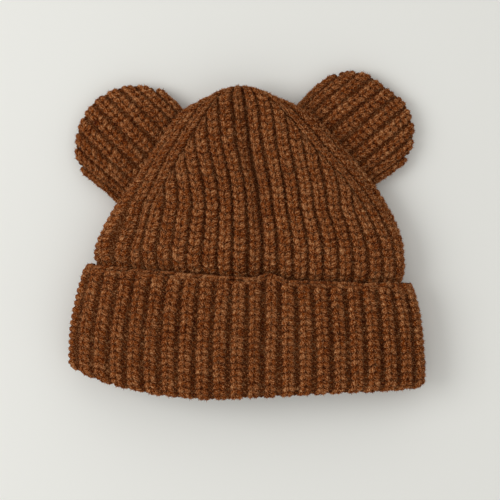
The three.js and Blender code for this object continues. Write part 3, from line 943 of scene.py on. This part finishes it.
bodyColumns = columnsBetween(0, ear["ribs"], fineness["earShellColumns"])
earColumns = columnsBetween(0, ear["ribs"], fineness["stitchColumns"])
rimRows = np.exp(-((np.cos(np.linspace(0, math.pi, ear["rimRows"])) / ear["levelReach"]) ** 2))
laidEars = {}
for name in ("earLeft", "earRight"):
    one = ear[name]
    deep = under["ridge"] + ear["bodyGroove"] * under["groove"] * hollowing(bodyColumns)
    bodyGrid = earFace(one, bodyColumns, deep * ear["bodyInset"])
    body = earBody(name + "Knit", bodyGrid[:: fineness["earEvery"]])
    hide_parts(one["node"])
    grid = earFace(one, earColumns, -ear["proud"])
    normals = unit(np.cross(np.gradient(grid, axis=1), np.gradient(grid, axis=0)))
    face = {"points": grid, "normals": normals, "columns": earColumns, "facing": 1, "seam": False,
            "level": np.pad(rimRows, ear["straightRows"]), "roundness": stitch["cuffRoundness"]}
    laid = layStitches(face, range(ear["ribs"]), stitch["earPitch"], one["start"])
    laidEars[name] = clearOfCrown(laid)
    bars = layBars(face, range(1, ear["ribs"]), stitch["earPitch"], one["start"], 1, purl["narrowestEarRib"])
    stitchPiece(name + "Stitches", laidEars[name], stitchYarn)
    stitchPiece(name + "Grooves", clearOfCrown(bars), grooveStitchPaintedShade, bar["faces"])

# Loose fibres that stand off the yarn: thin closed spikes, joined into a few pieces.
fuzz = {
    "perLeg": 28,
    "shares": {"edge": 0.6, "ears": 0.8, "back": 0.25},
    "length": (0.0005, 0.0014),
    "width": 0.00011,
    "widths": (0.6, 1.2),  # least and most, as shares of the width
    "root": 0.0002,  # how deep a fibre is rooted
    "lean": (0.8, 1.3),  # away from the middle of its leg, and any way at all
    "tone": (1.5, 5),
    "upper": 0.1,  # how high on a leg fibres grow
    "lower": -0.4,  # and where its lower side begins
    "floorGap": 0.00001,
}
spikeFaces = [[0, 1, 2], [0, 3, 1], [1, 3, 2], [2, 3, 0]]


def fuzzPiece(name, laid, perLeg, shape=leg):
    points = laid["points"]
    top = np.where(shape["up"] > fuzz["upper"])[0]
    low = np.where(shape["up"] < fuzz["lower"])[0]
    count = int(len(points) * perLeg)
    which = dice.integers(0, len(points), count)
    root = points[which, top[dice.integers(0, len(top), count)]]
    out = unit(points[:, top].mean(axis=1) - points[:, low].mean(axis=1))[which]
    outward, anyWay = fuzz["lean"]
    aim = out + outward * unit(root - points.mean(axis=1)[which])
    aim = unit(aim + anyWay * unit(dice.normal(0, 1, (count, 3))))
    length = dice.uniform(*fuzz["length"], count)[:, None]
    across = unit(np.cross(aim, unit(dice.normal(0, 1, (count, 3)))))
    other = np.cross(aim, across)
    width = fuzz["width"] * dice.uniform(*fuzz["widths"], count)[:, None]
    ends = [root - fuzz["root"] * aim + width * (across * math.cos(a) + other * math.sin(a))
            for a in np.radians((0, 120, 240))]
    corners = np.stack(ends + [root + aim * length], axis=1)
    corners[..., 2] = np.maximum(corners[..., 2], fuzz["floorGap"])
    four = np.zeros((count, 4))
    place = np.zeros((count, 4, 3)) + yarnOffsets(count)
    spikes = {"points": corners, "yarn": place, "tone": dice.normal(*fuzz["tone"], (count, 1)) + four,
              "turned": np.ones(count)}
    stitchPiece(name, spikes, fibre, spikeFaces)


fuzzPiece("crownFuzzFront", laidCrown["Front"], fuzz["perLeg"])
fuzzPiece("cuffFuzzFront", laidCuff["Front"], fuzz["perLeg"])
fuzzPiece("cuffEdgeFuzz", chain, fuzz["perLeg"] * fuzz["shares"]["edge"])
fuzzPiece("crownFuzzBack", laidCrown["Back"], fuzz["perLeg"] * fuzz["shares"]["back"], plainLeg)
fuzzPiece("cuffFuzzBack", laidCuff["Back"], fuzz["perLeg"] * fuzz["shares"]["back"], plainLeg)
for name, laid in laidEars.items():
    fuzzPiece(name + "Fuzz", laid, fuzz["perLeg"] * fuzz["shares"]["ears"])

# Floor, light and camera.
view = {
    "place": (0.0016, -0.0080),
    "height": 1.1,
    "hatHeight": 0.017,  # the height at which the picture is as wide as across
    "across": 0.2655,
    "sensor": 36,
    "floorSize": 1.5,
    "floorColour": (0.86, 0.865, 0.83, 1),
    "floorRoughness": 0.8,
    "keyPlace": (-0.88, 0.08, 0.87),
    "keySize": 0.8,
    "key": 5.4,
    "fill": 0.67,
    "fillColour": (1.0, 0.99, 0.97, 1),
}
scene = bpy.context.scene
camera = bpy.data.objects.new("camera", bpy.data.cameras.new("camera"))
scene.collection.objects.link(camera)
camera.location = (*view["place"], view["height"])
camera.data.sensor_width = view["sensor"]
camera.data.lens = view["sensor"] * (view["height"] - view["hatHeight"]) / view["across"]
scene.camera = camera

floorMesh = bpy.data.meshes.new("floor")
bm = bmesh.new()
bmesh.ops.create_grid(bm, x_segments=1, y_segments=1, size=view["floorSize"])
bm.to_mesh(floorMesh)
bm.free()
floor = bpy.data.objects.new("floor", floorMesh)
scene.collection.objects.link(floor)
paper = bpy.data.materials.new("palePaper")
paper.use_nodes = True
paperShader = paper.node_tree.nodes["Principled BSDF"]
paperShader.inputs["Base Color"].default_value = view["floorColour"]
paperShader.inputs["Roughness"].default_value = view["floorRoughness"]
floorMesh.materials.append(paper)

scene.view_settings.view_transform = "Standard"
world = scene.world or bpy.data.worlds.new("studio")
scene.world = world
world.use_nodes = True
world.node_tree.nodes["Background"].inputs["Color"].default_value = view["fillColour"]
world.node_tree.nodes["Background"].inputs["Strength"].default_value = view["fill"]

keyLight = bpy.data.objects.new("keyLight", bpy.data.lights.new("keyLight", "AREA"))
keyLight.data.shape = "DISK"
keyLight.data.size = view["keySize"]
keyLight.data.energy = view["key"]
keyLight.location = view["keyPlace"]
keyLight.rotation_euler = (-Vector(view["keyPlace"])).to_track_quat("-Z", "Y").to_euler()
scene.collection.objects.link(keyLight)
print("floor, light and camera set")
